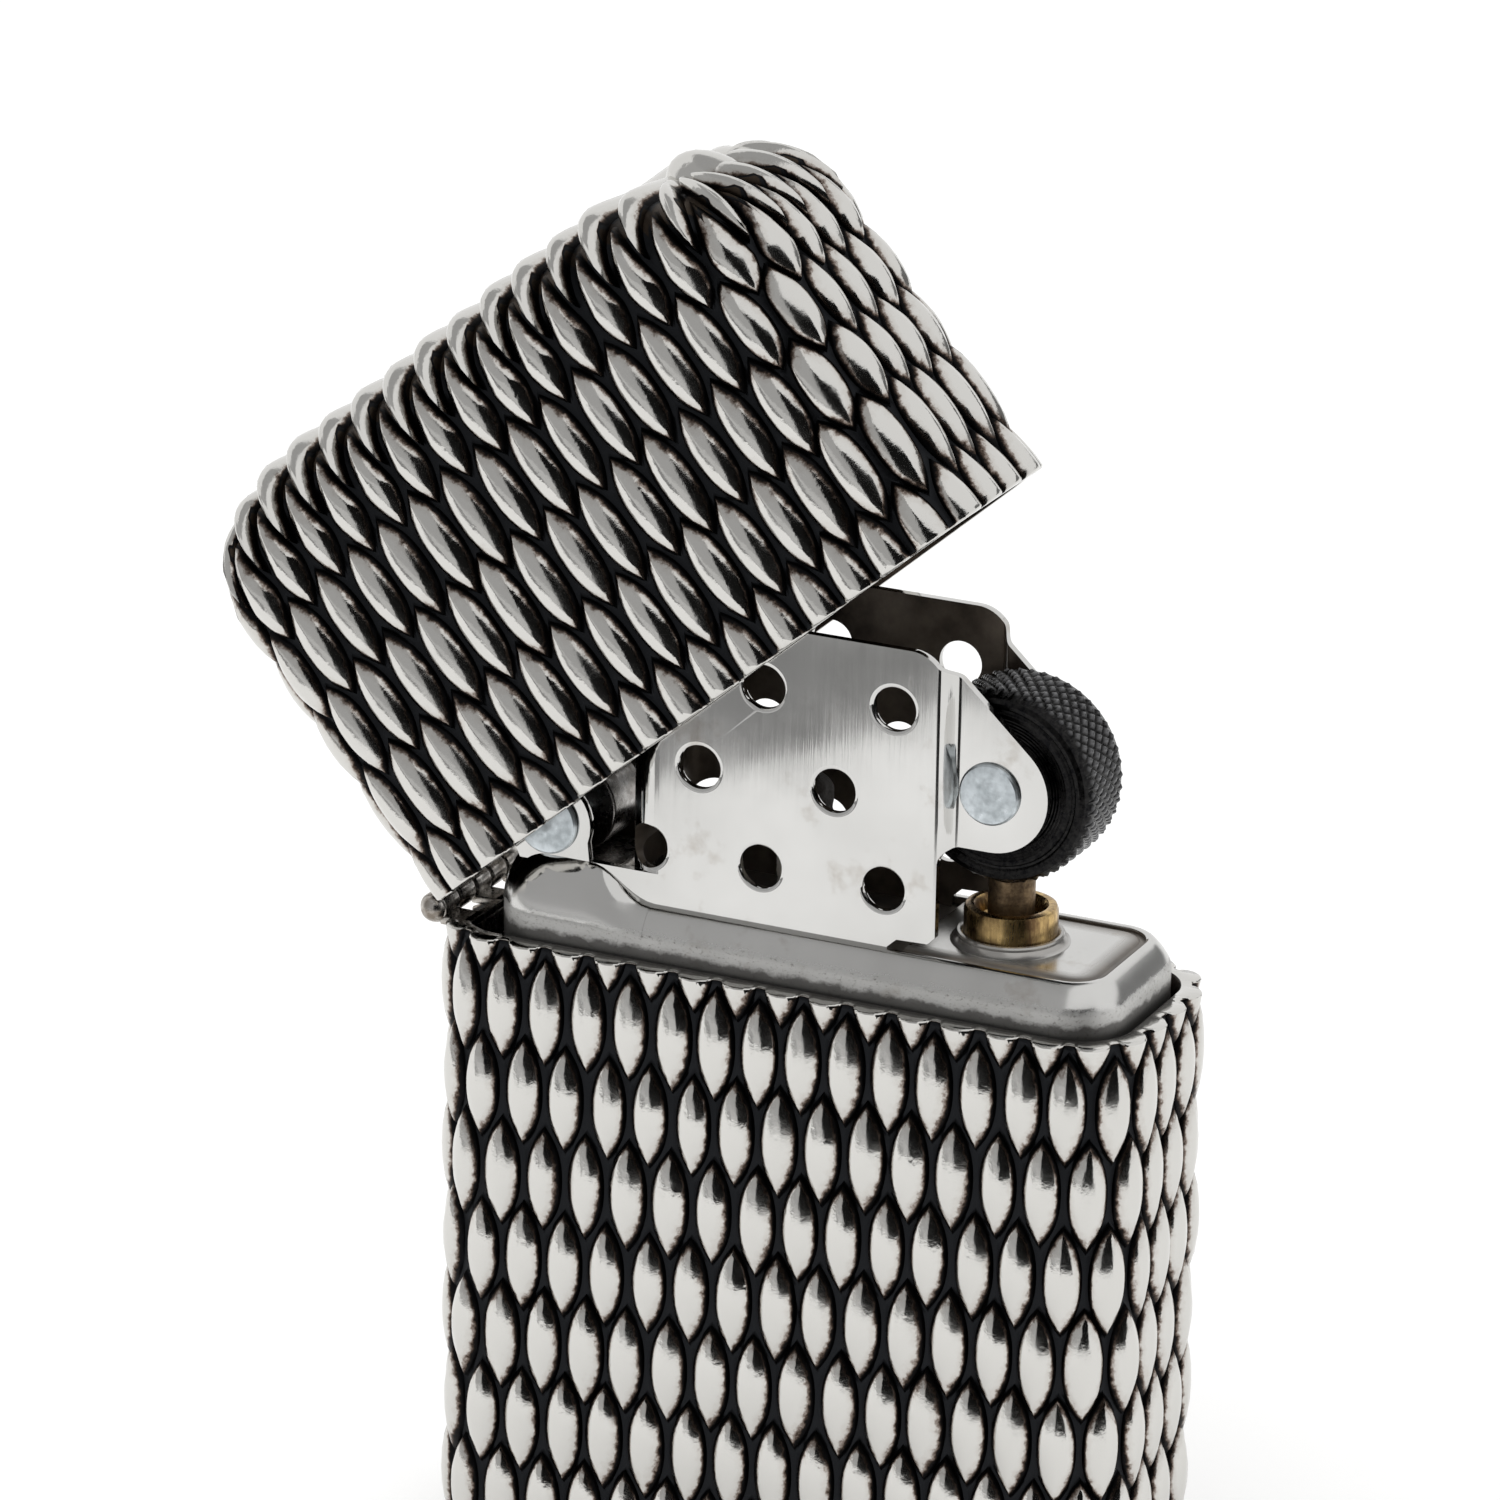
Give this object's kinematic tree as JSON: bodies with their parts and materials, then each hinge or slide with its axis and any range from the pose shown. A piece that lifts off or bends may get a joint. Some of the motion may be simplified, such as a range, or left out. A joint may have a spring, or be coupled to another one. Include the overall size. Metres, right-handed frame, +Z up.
{
  "type": "flip-top petrol lighter",
  "caption": "Flip-top petrol lighter with a beaded metal case, hinged lid, perforated chimney insert, knurled flint wheel and sprung flint.",
  "frame": {"origin": "centre of the flat base of the lower case", "axes": "+X from the hinge to the wheel, -Y the front, +Z up, lid at the angle it stands open in the picture"},
  "size_m": [0.0538, 0.0142, 0.0783],
  "materials": {
    "silver_case": "polished silver with blackened recesses",
    "hinge_metal": "satin, worn",
    "insert_steel": "polished, lightly scratched",
    "tube_brass": "turned, tarnished",
    "flint_alloy": "rough, matt",
    "spring_steel": "satin",
    "wheel_steel": "hardened black, knurled",
    "rivet_zinc": "zinc plated, turned",
    "wick_cotton": "braided cotton, scorched tip",
    "packing_cotton": "loose cotton",
    "felt": "pressed felt"
  },
  "bodies": {
    "case": {"lower_case": "silver_case", "lower_hinge_leaf": "hinge_metal", "hinge_pin": "hinge_metal", "insert_shell": "insert_steel", "top_plate": "insert_steel", "flint_tube": "tube_brass", "flint_spring": "spring_steel", "flint_screw": "tube_brass", "wheel_rivet": "rivet_zinc", "cam_rivet": "rivet_zinc", "cam_spring": "spring_steel", "wick": "wick_cotton", "packing_balls": "packing_cotton", "felt_pad": "felt"},
    "lid": {"lid_case": "silver_case", "lid_hinge_leaf": "hinge_metal"},
    "wheel": {"flint_wheel": "wheel_steel"},
    "cam": {"cam": "spring_steel"},
    "flint_stack": {"flint": "flint_alloy", "spring_tip": "tube_brass"}
  },
  "joints": [
    {"name": "lid_hinge", "type": "hinge", "parent": "case", "child": "lid", "pos_m": [-0.0201, 0, 0.03567], "axis": [0, -1, 0], "range_deg": [-41, 84]},
    {"name": "flint_wheel_spin", "type": "hinge", "parent": "case", "child": "wheel", "pos_m": [0.0105, 0, 0.0468], "axis": [0, 1, 0], "continuous": true},
    {"name": "cam_pivot", "type": "hinge", "parent": "case", "child": "cam", "pos_m": [-0.0135, 0, 0.0416], "axis": [0, -1, 0], "range_deg": [0, 8], "stiffness_Nm_per_rad": 0.05, "springref_deg": -5.73},
    {"name": "flint_feed", "type": "slide", "parent": "case", "child": "flint_stack", "axis": [0, 0, 1], "range_m": [-0.002, 0], "stiffness_N_per_m": 150, "springref_m": 0.006, "deforming": ["flint_spring"]}
  ]
}
